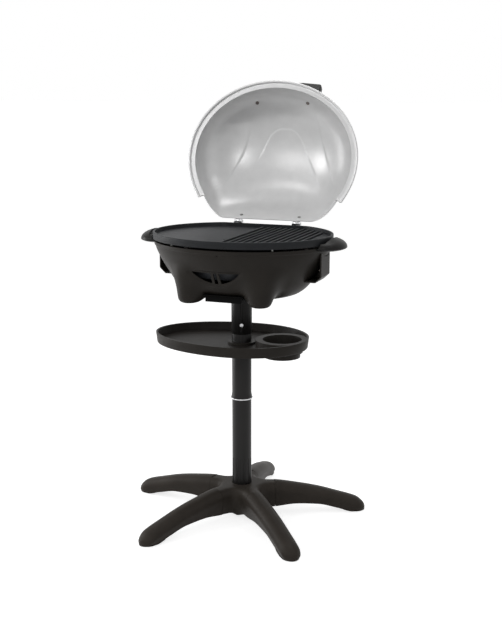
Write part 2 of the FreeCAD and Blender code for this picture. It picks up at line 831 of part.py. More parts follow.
def build_element():
    """Tubular heater: one loop with both ends at the right-hand side."""
    front = grill_centre_y - element_half_depth
    back = grill_centre_y + element_half_depth
    near = grill_centre_y - terminal_spread
    far = grill_centre_y + terminal_spread
    plan = [
        (terminal_reach, near), (element_half_width, near), (element_half_width, front),
        (-element_half_width, front), (-element_half_width, back), (element_half_width, back),
        (element_half_width, far), (terminal_reach, far)]
    radii = [terminal_corner] + [element_corner] * 4 + [terminal_corner]
    path = rounded_path([Vector(x, y, element_height) for x, y in plan], radii)
    start = Vector(terminal_reach, near, element_height)
    circle = Part.Wire(Part.makeCircle(element_radius, start, Vector(-1, 0, 0)))
    shapes["heating_element"] = path.makePipeShell([circle], True, False)
    clips = []
    for x in (-clip_place_x, clip_place_x):
        for y in (front, back):
            clips.append(block(x - clip_width / 2, x + clip_width / 2, y - clip_length / 2,
                               y + clip_length / 2, reflector_bottom + sheet,
                               element_height - element_radius))
    shapes["element_clips"] = Part.makeCompound(clips)


def terminal_holes():
    holes = []
    for side in (-1, 1):
        start = Vector(element_half_width, grill_centre_y + side * terminal_spread, element_height)
        holes.append(rod(start, Vector(1, 0, 0), element_radius + fit_gap,
                         terminal_reach - element_half_width))
    return fused(holes)


def build_drip_tray():
    low = drip_flange_bottom()
    flange_half = drip_half_width + drip_flange
    body = block(-drip_half_width, drip_half_width, drip_front, drip_back, drip_bottom, low)
    flange = block(-flange_half, flange_half, drip_front - drip_lip, drip_back,
                   low, low + drip_flange_thick)
    room = block(-drip_half_width + drip_wall, drip_half_width - drip_wall, drip_front + drip_wall,
                 drip_back - drip_wall, drip_bottom + drip_wall, drip_channel_top)
    shapes["drip_tray"] = fused([body, flange]).cut(room)


# Lid and hinges, drawn closed

def swung_open(shape):
    return turned(shape, -90 - lid_lean_degrees, Vector(0, hinge_y, hinge_z), Vector(1, 0, 0))


def lid_lip():
    return plate_top + lid_over_plate


def lid_centre_y():
    return hinge_y - lid_centre_to_hinge


def lid_front_of(depth):
    """Everything in front of the lid's leaning rear wall, less a depth."""
    size = 2 * lid_half_width
    keep = block(-size, size, -2 * size, -depth, -size, size)
    keep = turned(keep, lid_rear_lean_degrees, Vector(0, 0, 0), Vector(1, 0, 0))
    keep.translate(Vector(0, hinge_y - lid_rear_gap, lid_lip()))
    return keep


def lid_form(inset, low):
    """Dome with a short upright wall where the flange is missing."""
    ledge = lid_lip() + lid_skirt
    half_width = lid_half_width - lid_ledge - inset
    half_depth = lid_half_depth - lid_ledge - inset
    top = dome(half_width, half_depth, lid_rise - inset, ledge, lid_centre_y())
    wall = oval_prism(half_width, half_depth, low, ledge, lid_centre_y())
    flange_end = lid_centre_y() + lid_flange_end_share * lid_half_depth
    rear = block(-lid_half_width, lid_half_width, flange_end + inset, lid_centre_y() + lid_half_depth,
                 low - overrun, ledge + overrun)
    return fused([top, wall.common(rear)]), flange_end


def build_lid():
    outer, flange_end = lid_form(0, lid_lip())
    inner, flange_end = lid_form(sheet, lid_lip() - overrun)
    shell = outer.common(lid_front_of(0)).cut(inner.common(lid_front_of(sheet)))
    ledge = lid_lip() + lid_skirt
    flange = oval_prism(lid_half_width, lid_half_depth, lid_lip(), ledge + sheet, lid_centre_y())
    flange = flange.cut(oval_prism(lid_half_width - sheet, lid_half_depth - sheet,
                                   lid_lip() - overrun, ledge, lid_centre_y()))
    front = block(-lid_half_width, lid_half_width, lid_centre_y() - lid_half_depth, flange_end,
                  lid_lip() - overrun, ledge + overrun)
    flange = flange.common(front).cut(outer)
    shell = fused([shell, flange])
    handle, screws, screw_holes = lid_handle(outer)
    leaves, leaf_screws, leaf_holes = hinge_leaves()
    shell = shell.cut(screw_holes).cut(leaf_holes)
    shapes["lid_shell"] = swung_open(shell)
    shapes["lid_handle"] = swung_open(handle)
    shapes["lid_handle_screws"] = swung_open(screws)
    shapes["hinge_leaf_right"] = swung_open(leaves)
    shapes["hinge_leaf_left"] = mirrored(shapes["hinge_leaf_right"])
    shapes["hinge_leaf_screws"] = swung_open(leaf_screws)


def lid_handle(outer):
    """Arched grip on the dome's front, with one screw from inside at each foot."""
    lean = math.radians(grip_lean_degrees)
    stand = Vector(0, -math.cos(lean), math.sin(lean))
    across = Vector(0, math.sin(lean), math.cos(lean))
    half_width = lid_half_width - lid_ledge
    half_depth = lid_half_depth - lid_ledge
    share = 1 - (grip_place_x / half_width) ** 2 - (grip_place_y / half_depth) ** 2
    foot_z = lid_lip() + lid_skirt + lid_rise * math.sqrt(share)
    foot = Vector(0, lid_centre_y() - grip_place_y, foot_z)
    base = foot - across * (grip_thick / 2)
    level = grip_half_length * grip_arch_share

    def point(x, out):
        return base + Vector(x, 0, 0) + stand * out

    outline = [
        point(-grip_half_length, -grip_seat),
        point(-grip_half_length + grip_taper, grip_rise - grip_arch),
        point(-level, grip_rise),
        point(level, grip_rise),
        point(grip_half_length - grip_taper, grip_rise - grip_arch),
        point(grip_half_length, -grip_seat),
        point(grip_half_length - grip_foot, -grip_seat),
        point(grip_half_length - grip_foot - grip_taper, grip_rise - grip_arch - grip_bar),
        point(level, grip_rise - grip_bar),
        point(-level, grip_rise - grip_bar),
        point(-grip_half_length + grip_foot + grip_taper, grip_rise - grip_arch - grip_bar),
        point(-grip_half_length + grip_foot, -grip_seat),
    ]
    handle = polygon_prism(outline, across * grip_thick)
    handle = handle.makeFillet(grip_round, handle.Edges)
    handle = handle.cut(outer)
    height = foot_z - lid_lip() - lid_skirt
    screws = []
    holes = []
    for side in (-1, 1):
        normal = Vector(side * grip_place_x / half_width ** 2, -grip_place_y / half_depth ** 2,
                        height / lid_rise ** 2)
        normal.normalize()
        spot = foot + Vector(side * grip_place_x, 0, 0)
        seat = spot - normal * (sheet + grip_screw_sink)
        head = rod(seat, -normal, grip_screw_head_radius, grip_screw_head)
        shank = rod(seat, normal, grip_screw_radius, grip_screw_length)
        screws.append(head.fuse(shank))
        holes.append(rod(seat - normal * overrun, normal, grip_screw_radius + fit_gap,
                         grip_screw_length + overrun))
    holes = fused(holes)
    return handle.cut(holes), Part.makeCompound(screws), holes


def hinge_leaves():
    """Leaf with a knuckle, standing on the outside of the lid's rear wall."""
    lean = math.radians(lid_rear_lean_degrees)
    up = Vector(0, -math.sin(lean), math.cos(lean))
    out = Vector(0, math.cos(lean), math.sin(lean))
    foot = Vector(hinge_place_x, hinge_y - lid_rear_gap, lid_lip())
    axis = Vector(hinge_place_x, hinge_y, hinge_z)
    along = (axis - foot).dot(up)

    def plate(start, end, depth):
        corner = foot + up * start - Vector(leaf_half_width, 0, 0)
        wide = Vector(2 * leaf_half_width, 0, 0)
        points = [corner, corner + wide, corner + wide + out * depth, corner + out * depth]
        return polygon_prism(points, up * (end - start))

    reach = (axis - foot).dot(out)
    knuckle = rod(axis - Vector(leaf_half_width, 0, 0), Vector(1, 0, 0), knuckle_radius,
                  2 * leaf_half_width)
    leaf = fused([
        plate(along - leaf_web / 2, leaf_length, leaf_thick),
        plate(along - leaf_web / 2, along + leaf_web / 2, reach), knuckle])
    bore = rod(axis - Vector(2 * leaf_half_width, 0, 0), Vector(1, 0, 0), pin_radius + fit_gap,
               4 * leaf_half_width)
    leaf = leaf.cut(bore)
    seat = foot + up * leaf_screw_place - out * sheet
    screw = rod(seat, -out, hinge_screw_head_radius, hinge_screw_head)
    screw = screw.fuse(rod(seat, out, hinge_screw_radius, leaf_screw_length))
    hole = rod(seat - out * overrun, out, hinge_screw_radius + fit_gap, leaf_screw_length + overrun)
    screws = Part.makeCompound([screw, mirrored(screw)])
    return leaf.cut(hole), screws, fused([hole, mirrored(hole)])


def build_hinge_bases(bowl_outer):
    """Brackets on the bowl's rear wall, with two ears round each hinge pin."""
    inner = leaf_half_width + running_gap
    outer = inner + ear_thick
    left = hinge_place_x - outer
    right = hinge_place_x + outer
    foot = block(left, right, hinge_foot_front, hinge_foot_back, hinge_foot_bottom, hinge_foot_top)
    ears = []
    for x in (left, hinge_place_x + inner):
        web = block(x, x + ear_thick, hinge_y - knuckle_radius, hinge_y + knuckle_radius,
                    hinge_foot_bottom, hinge_z)
        eye = rod(Vector(x, hinge_y, hinge_z), Vector(1, 0, 0), knuckle_radius, ear_thick)
        ears += [web, eye]
    plate_room = plate_prism(-running_gap, bowl_rim_top, plate_top + overrun)
    base = fused([foot] + ears).cut(bowl_outer)
    base = base.cut(oval_prism(bowl_half_width, bowl_half_depth, bowl_rim_top,
                               hinge_foot_top + overrun, grill_centre_y)).cut(plate_room)
    axis_start = Vector(left - overrun, hinge_y, hinge_z)
    base = base.cut(rod(axis_start, Vector(1, 0, 0), pin_radius + fit_gap, right - left + 2 * overrun))
    pin = rod(Vector(left, hinge_y, hinge_z), Vector(1, 0, 0), pin_radius, right - left)
    height = (hinge_foot_bottom + bowl_rim_top) / 2
    seat = Vector(hinge_place_x, hinge_foot_back, height)
    inward = Vector(0, -1, 0)
    screw = rod(seat, Vector(0, 1, 0), hinge_screw_head_radius, hinge_screw_head)
    screw = screw.fuse(rod(seat, inward, hinge_screw_radius, hinge_screw_length))
    hole = rod(seat + Vector(0, overrun, 0), inward, hinge_screw_radius + fit_gap,
               hinge_screw_length + overrun)
    base = base.cut(hole)
    shapes["hinge_base_right"] = base
    shapes["hinge_base_left"] = mirrored(base)
    shapes["hinge_pins"] = Part.makeCompound([pin, mirrored(pin)])
    shapes["hinge_base_screws"] = Part.makeCompound([screw, mirrored(screw)])
    return fused([hole, mirrored(hole)])


# Assembly

def build_all():
    build_base()
    build_column()
    build_tray()
    bowl, bowl_outer = build_bowl()
    build_guards(bowl_outer)
    handle_holes = build_handles(bowl_outer)
    hinge_holes = build_hinge_bases(bowl_outer)
    bowl = bowl.cut(handle_holes).cut(hinge_holes).cut(terminal_holes())
    shapes["bowl"] = bowl
    build_plate()
    build_reflector()
    build_element()
    build_drip_guide()
    build_drip_tray()
    build_lid()


build_all()
whole = FreeCAD.BoundBox()
for shape in shapes.values():
    whole.add(tight_box(shape))
shift = Vector(-whole.Center.x, -whole.Center.y, -whole.ZMin)
os.makedirs("parts", exist_ok=True)
for name in sorted(shapes):
    placed = shapes[name].copy()
    placed.translate(shift)
    placed.exportStep("parts/%s.step" % name)
    print(name, placed.isValid(), "solids", len(placed.Solids), "volume", round(placed.Volume))
print("size", round(whole.XLength, 1), round(whole.YLength, 1), round(whole.ZLength, 1))
print("shift of the drawing", round(shift.x, 3), round(shift.y, 3), round(shift.z, 3))
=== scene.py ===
"""Looks of the free-standing grill: meshes, finishes, light and camera, in metres."""
import json
import math
import bpy
import numpy as np
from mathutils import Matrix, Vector


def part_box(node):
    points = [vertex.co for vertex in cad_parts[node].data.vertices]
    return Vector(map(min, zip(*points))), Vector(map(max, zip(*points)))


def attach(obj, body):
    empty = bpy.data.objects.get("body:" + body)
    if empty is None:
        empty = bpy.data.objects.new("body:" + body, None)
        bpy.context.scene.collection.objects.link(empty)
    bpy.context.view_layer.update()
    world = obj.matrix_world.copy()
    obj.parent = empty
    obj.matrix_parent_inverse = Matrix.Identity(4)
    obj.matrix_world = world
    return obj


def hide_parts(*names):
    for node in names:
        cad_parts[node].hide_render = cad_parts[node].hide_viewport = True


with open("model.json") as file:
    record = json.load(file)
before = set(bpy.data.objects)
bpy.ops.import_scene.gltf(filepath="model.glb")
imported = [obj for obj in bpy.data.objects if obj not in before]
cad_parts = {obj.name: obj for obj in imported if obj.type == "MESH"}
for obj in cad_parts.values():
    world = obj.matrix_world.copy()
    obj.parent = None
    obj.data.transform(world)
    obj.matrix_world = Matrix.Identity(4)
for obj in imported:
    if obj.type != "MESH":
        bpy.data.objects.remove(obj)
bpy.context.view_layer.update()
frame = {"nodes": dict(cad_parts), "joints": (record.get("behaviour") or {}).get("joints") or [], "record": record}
nodes = frame["nodes"]
joints = {joint["name"]: joint for joint in frame["joints"]}
millimetre = 0.001

# Places taken from the frame
tube_low, tube_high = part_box("lower_tube")
axis = (tube_low + tube_high) / 2
axis.z = 0
tube_radius = (tube_high.x - tube_low.x) / 2
bowl_low, bowl_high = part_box("bowl")
hinge = Vector(joints["lid_hinge"]["pos_m"])
lid_swing = -math.radians(joints["lid_hinge"]["range_deg"][1])

# Camera, round the column's axis
camera_distance = 2.538
camera_height = 1.0544
camera_azimuth = math.radians(21.47)
camera_yaw = math.radians(0.51)
camera_pitch = math.radians(12.43)
camera_lens = 60.17
camera_sensor = 36.0

# Bowl
bowl_half_width = (bowl_high.x - bowl_low.x) / 2
bowl_half_depth = 0.178
bowl_setback = 0.006
bowl_centre = Vector((axis.x, axis.y + bowl_setback, 0))
bowl_floor = 0.560
bowl_rim = bowl_high.z
bowl_wall = 0.0035
# Height above the floor, half width and half depth as shares of rim values
bowl_profile_shares = (
    (0.00, 0.40, 0.36),
    (0.025, 0.52, 0.48),
    (0.10, 0.655, 0.625),
    (0.24, 0.755, 0.735),
    (0.43, 0.832, 0.82),
    (0.69, 0.925, 0.92),
    (0.86, 0.974, 0.972),
    (0.917, 0.985, 0.984),
    (0.930, 0.988, 0.987),
    (0.942, 0.996, 0.996),
    (1.00, 1.00, 1.00),
)
bowl_columns = 400
bowl_rows = 110
bowl_lip_rows = 26
bowl_floor_rows = 26
bowl_row_power = 1.6
bowl_march_start = 0.05
bowl_march_steps = 70
bowl_march_share = 0.8
bowl_ledge_height = 0.672
bowl_ledge_thickness = 0.003
bowl_ledge_rim_gap = 0.0006
# Distances of the ledge's edges in from the rim
bowl_ledge_outer = 0.0032
bowl_ledge_under = 0.0075
bowl_ledge_wall = 0.009
bowl_ledge_inner = 0.015
foot_x = 0.088
foot_y = 0.116
foot_bottom = bowl_low.z
foot_bottom_radius = 0.0255
foot_top = 0.640
foot_top_radius = 0.041
foot_lean = 0.13
foot_blend = 0.028
foot_edge = 0.014
socket_radius = 0.0253
socket_wall = 0.004
socket_top = 0.600
socket_eye = 0.0005
vent_shift = -0.009
vent_half_width = 0.059
vent_tip = 0.636
vent_low = 0.608
vent_sag = 0.0015
vent_bar = 0.004
vent_bar_place = 0.0075
vent_points = 61
vent_cut = 0.10
vent_dent = 0.0028
vent_dent_spread = 1.16
vent_dent_below = 0.005
vent_dent_lift = 0.009
vent_dent_edge = 0.003
vent_dent_top = 0.006
vent_dent_start = 0.001
mark_shift = 0.006
mark_height = 0.678
mark_radius = 0.0020
mark_cut = 0.03
mark_points = 24
slot_half_width = 0.0503
slot_back = -0.0305
slot_top = 0.580
cut_overrun = 0.01

# Lid, drawn closed
lid_low, lid_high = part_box("lid_shell")
# The photograph shows the lid a little wider than its solid and further left
lid_spread = 0.003
lid_half_width = (lid_high.x - lid_low.x) / 2 + lid_spread
lid_half_depth = 0.196
lid_shift = -0.002
lid_setback = 0.161
lid_centre = Vector((axis.x + lid_shift, hinge.y - lid_setback, 0))
lid_lip = 0.7126
lid_skirt = 0.0074
lid_ledge = 0.0165
lid_rise = 0.104
lid_sheet = 0.0015
lid_rear_gap = 0.006
lid_rear = hinge.y - lid_rear_gap
lid_rear_drop = 0.006
lid_rear_lean = math.radians(25)
lid_rear_power = 2.6
lid_rear_fullness = 0.33
lid_full_from = 0.45
lid_full_to = 0.85
lid_chord_from = 0.05
lid_chord_free = 10.0
lid_dome_power = 2.12
lid_corner = 0.025
lid_flange_end = 0.505
lid_flange_before = 0.003
lid_flange_after = 0.001
# Place across the ledge and drop of the turned rim, as shares
lid_rim_shares = (
    (0.05, 0.0), (0.30, 0.0), (0.58, 0.0), (0.65, 0.04), (0.69, 0.20), (0.71, 0.60), (0.73, 0.92),
    (0.77, 1.0), (0.86, 1.0), (0.895, 0.95), (0.91, 0.84),
)
lid_columns = 420
lid_rows = 120
arch_apex = -0.071
arch_half = 0.058
arch_drop = 0.0555
arch_power = 2.8
arch_slope = 1.9
arch_depth = 0.0007
wing_depth = -0.0010
crease_width = 0.0020
arch_left_trim = 0.03
arch_fade_from = 0.085
arch_fade_to = 0.115
wing_fade_front = 0.025
wing_fade_rear = 0.04
relief_fade_from = 0.86
relief_fade_to = 0.97
# Place along the lid's depth and distance from its middle of the wings' edges
wing_left = ((-0.061, 0.0963), (-0.036, 0.1012), (0.0, 0.1133), (0.036, 0.1318), (0.083, 0.1574))
wing_right = ((-0.088, 0.0950), (-0.048, 0.1030), (0.007, 0.1219), (0.050, 0.1387))

# Legs and hub
leg_count = 5
leg_turn = math.radians(97.8)
leg_reach = 0.312
leg_seam = 0.082
leg_width = 0.050
leg_wall = 0.003
leg_floor_gap = 0.002
leg_cavity_reach = 0.256
leg_corner_share = 0.46
leg_foot_share = 0.82
leg_corner_limit = 0.85
leg_cavity_fade = 0.012
leg_gap = 0.0003
leg_rows = 50
leg_section = 18
arm_rows = 24
arm_section = 14
cavity_least_height = 0.001
cavity_least_share = 0.02
cavity_least_width = 0.0008
toe_radius = 0.0235
toe_rows = 22
toe_height_share = 0.35
toe_least_share = 0.0004
tenon_length = 0.036
tenon_overlap = 0.002
tenon_play = 0.0003
hub_height = 0.088
hub_bottom = 0.016
hub_radius = 0.047
hub_socket_floor = 0.030
hub_blend = 0.022
hub_round = 0.016
hub_under_round = 0.036
hub_centre_height = 0.050
hub_columns = 360
hub_rows = 120
hub_overlap = 0.014
hub_gap = 0.0007
hub_crown = 0.004
hub_march_start = 0.14
hub_march_steps = 90
hub_march_share = 0.7
hub_ray_share = 0.495
hub_hole_overrun = 0.02
hub_hollow_overrun = 0.02
seam_gap = 0.0004
trim_length = 0.06
trim_half_width = 0.045
trim_low = -0.01
trim_high = 0.12
# Place along the reach, upper and lower edge as shares of the hub's height, width as a share
leg_station_shares = (
    (0.07, 1.00, 0.23, 1.04),
    (0.26, 0.97, 0.26, 1.00),
    (0.43, 0.88, 0.32, 0.98),
    (0.61, 0.75, 0.285, 0.96),
    (0.77, 0.585, 0.145, 0.95),
    (0.90, 0.44, 0.02, 0.95),
    (1.00, 0.28, 0.02, 0.94),
)

# Stage
world_light = 0.28
floor_half = 60.0
floor_tone = 0.62
floor_glow = 0.78
lamp_height = 0.65
lid_lamp_setback = 0.3
lid_lamp_height = 0.86
lid_lamp_distance = 2.6


# Helpers for curves and meshes

def smooth_curve(places, values, wanted):
    """Monotone cubic through a few points, so that a profile has no kinks."""
    places = np.asarray(places, float)
    values = np.asarray(values, float)
    steps = np.diff(places)
    slopes = np.diff(values) / steps
    tangents = np.zeros(len(values))
    tangents[0] = slopes[0]
    tangents[-1] = slopes[-1]
    same_way = slopes[:-1] * slopes[1:] > 0
    both = slopes[:-1] + slopes[1:]
    mean = 2 * slopes[:-1] * slopes[1:] / np.where(same_way, both, 1)
    tangents[1:-1] = np.where(same_way, mean, 0)
    index = np.clip(np.searchsorted(places, wanted) - 1, 0, len(steps) - 1)
    part = (wanted - places[index]) / steps[index]
    rest = 1 - part
    start = values[index] * (1 + 2 * part) * rest ** 2 + values[index + 1] * (3 - 2 * part) * part ** 2
    lean = tangents[index] * rest - tangents[index + 1] * part
    return start + steps[index] * part * rest * lean


def soft_min(first, second, reach):
    mix = np.clip(0.5 + 0.5 * (second - first) / reach, 0, 1)
    return second * (1 - mix) + first * mix - reach * mix * (1 - mix)


def soft_max(first, second, reach):
    return -soft_min(-first, -second, reach)


def soft_step(value, low, high):
    part = np.clip((value - low) / (high - low), 0, 1)
    return part * part * (3 - 2 * part)


def ring_faces(rows, columns, first=0):
    """Quads between rows of a grid that closes round on itself."""
    faces = []
    for row in range(rows - 1):
        for column in range(columns):
            onward = (column + 1) % columns
            here = first + row * columns
            above = here + columns
            faces.append((here + column, here + onward, above + onward, above + column))
    return faces


def mesh_object(name, points, faces):
    mesh = bpy.data.meshes.new(name)
    mesh.from_pydata([tuple(point) for point in points], [], faces)
    mesh.validate()
    mesh.update()
    piece = bpy.data.objects.new(name, mesh)
    bpy.context.scene.collection.objects.link(piece)
    return piece


def apply_modifiers(piece):
    """Bakes the modifiers into the mesh."""
    graph = bpy.context.evaluated_depsgraph_get()
    baked = bpy.data.meshes.new_from_object(piece.evaluated_get(graph))
    piece.modifiers.clear()
    piece.data = baked


def smooth_shade(piece, degrees=35):
    piece.data.shade_smooth()
    piece.data.set_sharp_from_angle(angle=math.radians(degrees))


def cut_away(piece, tool):
    """Takes the tool's volume out of the piece and removes the tool."""
    cut = piece.modifiers.new("cut", "BOOLEAN")
    cut.operation = "DIFFERENCE"
    cut.solver = "EXACT"
    cut.object = tool
    apply_modifiers(piece)
    bpy.data.objects.remove(tool)


def dress(piece, body, slot, *replaced):
    """Gives a finished mesh its body, its finish and the nodes that it stands for."""
    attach(piece, body)
    piece.data.materials.clear()
    piece.data.materials.append(finishes[slot])
    if replaced:
        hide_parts(*replaced)
    return piece


# Finishes

def finish(name, colour, roughness, spread, grain, depth, specular, metallic=0.0, stretch=(1, 1, 1)):
    """Surface with a mottled colour, uneven gloss and a fine grain in relief."""
    material = bpy.data.materials.new(name)
    material.use_nodes = True
    tree = material.node_tree
    shader = tree.nodes["Principled BSDF"]
    shader.inputs["Metallic"].default_value = metallic
    shader.inputs["Specular IOR Level"].default_value = specular
    place = tree.nodes.new("ShaderNodeTexCoord")
    mapping = tree.nodes.new("ShaderNodeMapping")
    mapping.inputs["Scale"].default_value = stretch
    tree.links.new(place.outputs["Object"], mapping.inputs["Vector"])
    cloud = tree.nodes.new("ShaderNodeTexNoise")
    cloud.inputs["Scale"].default_value = grain / 40
    cloud.inputs["Detail"].default_value = 5
    fine = tree.nodes.new("ShaderNodeTexNoise")
    fine.inputs["Scale"].default_value = grain
    fine.inputs["Detail"].default_value = 3
    for texture in (cloud, fine):
        tree.links.new(mapping.outputs["Vector"], texture.inputs["Vector"])
    ramp = tree.nodes.new("ShaderNodeValToRGB")
    ramp.color_ramp.elements[0].position = 0.3
    ramp.color_ramp.elements[1].position = 0.7
    ramp.color_ramp.elements[0].color = [value * (1 - spread) for value in colour] + [1]
    ramp.color_ramp.elements[1].color = [value * (1 + spread) for value in colour] + [1]
    tree.links.new(cloud.outputs["Fac"], ramp.inputs["Fac"])
    tree.links.new(ramp.outputs["Color"], shader.inputs["Base Color"])
    gloss = tree.nodes.new("ShaderNodeMapRange")
    gloss.inputs["To Min"].default_value = roughness * (1 - spread)
    gloss.inputs["To Max"].default_value = roughness * (1 + spread)
    tree.links.new(fine.outputs["Fac"], gloss.inputs["Value"])
    tree.links.new(gloss.outputs["Result"], shader.inputs["Roughness"])
    bump = tree.nodes.new("ShaderNodeBump")
    bump.inputs["Distance"].default_value = depth
    bump.inputs["Strength"].default_value = 0.6
    tree.links.new(fine.outputs["Fac"], bump.inputs["Height"])
    tree.links.new(bump.outputs["Normal"], shader.inputs["Normal"])
    return material


brushed = (1, 1, 0.05)
# Colour, roughness, spread, grain, depth of the grain, gloss and, where given, metal and stretch
finishes = {
    "dark_plastic": finish("dark_plastic", (0.0215, 0.0188, 0.0162), 0.46, 0.10, 1100, 0.00010, 0.10),
    "stand_plastic": finish("stand_plastic", (0.0375, 0.0318, 0.0268), 0.46, 0.12, 1000, 0.00008, 0.08),
    "black_plastic": finish("black_plastic", (0.0072, 0.0068, 0.0064), 0.40, 0.12, 1200, 0.00008, 0.16),
    "column_paint": finish("column_paint", (0.008, 0.0073, 0.007), 0.36, 0.12, 900, 0.00004, 0.22),
    "lid_paint": finish("lid_paint", (0.68, 0.68, 0.68), 0.29, 0.03, 1600, 0.00001, 0.4, 0.2),
    "nonstick": finish("nonstick", (0.0135, 0.0147, 0.0165), 0.50, 0.16, 1400, 0.00012, 0.16),
    "bright": finish("bright", (0.52, 0.52, 0.53), 0.14, 0.05, 900, 0.00001, 0.5, 1.0),
    "screw_steel": finish("screw_steel", (0.26, 0.26, 0.25), 0.32, 0.10, 1500, 0.00002, 0.5, 1.0, brushed),
    # The reflector pan's metal is coloured near-black: painted shade for the dark inside of the bowl seen through
    # the vent.
    "pan_metal": finish("pan_metal", (0.030, 0.032, 0.036), 0.52, 0.10, 700, 0.00003, 0.2),
    # The drip tray's near-black is partly its own black enamel and partly painted shade for the shadow under the
    # bowl.
    "tray_enamel": finish("tray_enamel", (0.003, 0.0029, 0.0028), 0.65, 0.12, 900, 0.00005, 0.05),
    "heater_steel": finish("heater_steel", (0.16, 0.14, 0.13), 0.42, 0.25, 800, 0.00005, 0.5, 0.9),
    "pad_rubber": finish("pad_rubber", (0.012, 0.012, 0.012), 0.75, 0.15, 1300, 0.0002, 0.2),
}


# Nodes that keep their own shape, with the width of their softened edges in millimetres
soft_edges = {
    "side_tray": 1.2, "handle_left": 1.5, "handle_right": 1.5,
    "grill_plate": 0.7, "joint_ring": 0.7, "column_head": 0.8, "drip_tray": 0.5, "upper_tube": 0.4,
    "hinge_base_left": 0.5, "hinge_base_right": 0.5, "hinge_leaf_left": 0.4, "hinge_leaf_right": 0.4,
    "head_screw": 0.5, "tray_screws": 0.5, "lid_handle_screws": 0.4, "foot_pads": 0.6,
}


def keep_nodes():
    """Puts the record's finishes on every node, with soft edges where light catches them."""
    slots = {part["node"]: part["material_slot"] for part in frame["record"]["subparts"]}
    for name, node in nodes.items():
        node.data.materials.clear()
        node.data.materials.append(finishes[slots[name]])
    for name, width in soft_edges.items():
        soften(name, width * millimetre)
    for name in ("socket_guard", "left_guard"):
        melt(name)


def soften(name, width):
    """Rounds a node's sharp edges a little."""
    node = nodes[name]
    weld = node.modifiers.new("weld", "WELD")
    weld.merge_threshold = 0.02 * millimetre
    bevel = node.modifiers.new("bevel", "BEVEL")
    bevel.width = width
    bevel.segments = 3
    bevel.limit_method = "ANGLE"
    bevel.angle_limit = math.radians(40)
    bevel.harden_normals = True


def melt(name):
    """Gives a moulded node's edges a wide, soft rounding."""
    node = nodes[name]
    blend = node.modifiers.new("blend", "REMESH")
    blend.mode = "VOXEL"
    blend.voxel_size = 0.9 * millimetre
    blend.use_smooth_shade = True
    smooth = node.modifiers.new("smooth", "SMOOTH")
    smooth.factor = 0.5
    smooth.iterations = 10


# Bowl

def foot_distance(points):
    """Signed distance to the nearest of the bowl's four conical feet."""
    nearest = np.full(points.shape[:-1], 1.0)
    share = (points[..., 2] - foot_bottom) / (foot_top - foot_bottom)
    radius = foot_bottom_radius + (foot_top_radius - foot_bottom_radius) * np.clip(share, -0.2, 1)
    for side_x in (-1, 1):
        for side_y in (-1, 1):
            across = points[..., 0] - bowl_centre.x - side_x * foot_x
            lean = foot_lean * (points[..., 2] - foot_bottom)
            along = points[..., 1] - bowl_centre.y - side_y * (foot_y - lean)
            side = np.hypot(across, along) - radius
            below = foot_bottom - points[..., 2]
            above = points[..., 2] - foot_top
            cone = soft_max(soft_max(side, below, foot_edge), above, foot_blend)
            nearest = np.minimum(nearest, cone)
    return nearest


def bowl_skin():
    """Outer skin of the bowl with its feet blended in, as points in rows."""
    heights, widths, depths = np.array(bowl_profile_shares).T
    lip = np.linspace(heights[-5], heights[-2], bowl_lip_rows)
    rise = np.unique(np.concatenate([np.linspace(0, 1, bowl_rows) ** bowl_row_power, lip]))
    wall_z = bowl_floor + (bowl_rim - bowl_floor) * rise
    wall_width = bowl_half_width * smooth_curve(heights, widths, rise)
    wall_depth = bowl_half_depth * smooth_curve(heights, depths, rise)
    floor_share = np.linspace(0, 1, bowl_floor_rows, endpoint=False)
    bore = np.full(bowl_floor_rows, socket_radius)
    width = np.concatenate([bore + floor_share * (wall_width[0] - bore), wall_width])
    depth = np.concatenate([bore + floor_share * (wall_depth[0] - bore), wall_depth])
    middle = np.concatenate([axis.y + floor_share * (bowl_centre.y - axis.y),
                             np.full(len(wall_width), bowl_centre.y)])
    height = np.concatenate([np.full(bowl_floor_rows, bowl_floor), wall_z])
    angle = np.linspace(0, 2 * math.pi, bowl_columns, endpoint=False)
    points = np.empty((len(width), bowl_columns, 3))
    points[..., 0] = bowl_centre.x + np.outer(width, np.cos(angle))
    points[..., 1] = middle[:, None] + np.outer(depth, np.sin(angle))
    points[..., 2] = height[:, None]
    onward = np.gradient(points, axis=0)
    around = np.roll(points, -1, axis=1) - np.roll(points, 1, axis=1)
    normal = np.cross(around, onward)
    normal /= np.linalg.norm(normal, axis=2, keepdims=True)
    reach = np.full(points.shape[:2], bowl_march_start)
    for _ in range(bowl_march_steps):
        place = points + normal * reach[..., None]
        reach -= bowl_march_share * soft_min(reach, foot_distance(place), foot_blend)
    reach *= 1 - soft_step(points[..., 2], foot_top, bowl_rim)
    reach -= vent_dent * vent_recess(points)
    return points + normal * reach[..., None]


def vent_recess(points):
    """One inside the shallow dent that holds the front vent, falling to zero around it."""
    x = points[..., 0] - axis.x - vent_shift
    z = points[..., 2]
    half = vent_dent_spread * vent_half_width
    low = vent_low - vent_dent_below + (vent_tip - vent_low + vent_dent_lift) * (x / half) ** 2
    mask = soft_step(z - low, -vent_dent_edge, vent_dent_edge)
    mask *= 1 - soft_step(z, vent_tip - vent_dent_start, vent_tip + vent_dent_top)
    return np.where(points[..., 1] < bowl_centre.y, mask, 0)


def oval_ring(name, profile, centre, half_width, half_depth, columns=240):
    """Ring with a closed profile of (inset, height) points, carried round an oval."""
    angle = np.linspace(0, 2 * math.pi, columns, endpoint=False)
    points = []
    for inset, height in list(profile) + [profile[0]]:
        row = np.stack([centre.x + (half_width - inset) * np.cos(angle),
                        centre.y + (half_depth - inset) * np.sin(angle),
                        np.full(columns, height)], axis=1)
        points.append(row)
    ring = mesh_object(name, np.concatenate(points), ring_faces(len(points), columns))
    weld = ring.modifiers.new("weld", "WELD")
    weld.merge_threshold = 0.01 * millimetre
    apply_modifiers(ring)
    return ring


